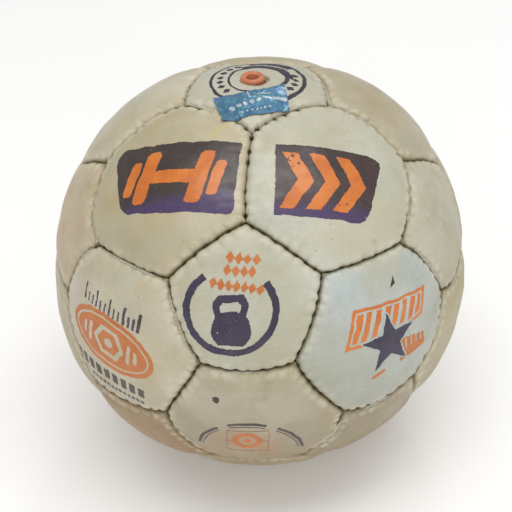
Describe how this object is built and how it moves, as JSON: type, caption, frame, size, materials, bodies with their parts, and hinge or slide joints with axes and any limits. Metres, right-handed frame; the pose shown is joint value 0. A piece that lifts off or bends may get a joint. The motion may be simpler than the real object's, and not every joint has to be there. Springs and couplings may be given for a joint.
{
  "type": "medicine ball",
  "caption": "Hand-stitched leather medicine ball: pentagon and hexagon cover panels over a heavy rubber bladder, with a valve stem, a removable needle core and a foil label.",
  "frame": {"origin": "centre of the ball", "axes": "+Z out through the middle of the valve and along its needle bore; -Y towards the pentagon that faces the front, 63.4 degrees from +Z; +X to the right as seen from the front"},
  "size_m": [0.22, 0.22, 0.2218],
  "materials": {
    "cover_leather": "satin",
    "lining": "matt",
    "thread": "waxed",
    "bladder_rubber": "matt",
    "valve_rubber": "satin",
    "core_rubber": "satin",
    "patch_cloth": "matt",
    "label_foil": "pearl"
  },
  "bodies": {
    "ball": {"valve_panel": "cover_leather", "pentagon_panel_01": "cover_leather", "pentagon_panel_02": "cover_leather", "pentagon_panel_03": "cover_leather", "pentagon_panel_04": "cover_leather", "pentagon_panel_05": "cover_leather", "pentagon_panel_06": "cover_leather", "pentagon_panel_07": "cover_leather", "pentagon_panel_08": "cover_leather", "pentagon_panel_09": "cover_leather", "pentagon_panel_10": "cover_leather", "pentagon_panel_11": "cover_leather", "hexagon_panel_01": "cover_leather", "hexagon_panel_02": "cover_leather", "hexagon_panel_03": "cover_leather", "hexagon_panel_04": "cover_leather", "hexagon_panel_05": "cover_leather", "hexagon_panel_06": "cover_leather", "hexagon_panel_07": "cover_leather", "hexagon_panel_08": "cover_leather", "hexagon_panel_09": "cover_leather", "hexagon_panel_10": "cover_leather", "hexagon_panel_11": "cover_leather", "hexagon_panel_12": "cover_leather", "hexagon_panel_13": "cover_leather", "hexagon_panel_14": "cover_leather", "hexagon_panel_15": "cover_leather", "hexagon_panel_16": "cover_leather", "hexagon_panel_17": "cover_leather", "hexagon_panel_18": "cover_leather", "hexagon_panel_19": "cover_leather", "hexagon_panel_20": "cover_leather", "valve_panel_lining": "lining", "pentagon_linings": "lining", "hexagon_linings": "lining", "pentagon_seam_thread": "thread", "hexagon_seam_thread": "thread", "bladder": "bladder_rubber", "valve_stem": "valve_rubber", "valve_patch": "patch_cloth", "foil_label": "label_foil"},
    "valve_core": {"valve_core": "core_rubber"}
  },
  "joints": [
    {"name": "valve_core_pull", "type": "slide", "parent": "ball", "child": "valve_core", "axis": [0, 0, 1], "range_m": [0, 0.02]}
  ]
}
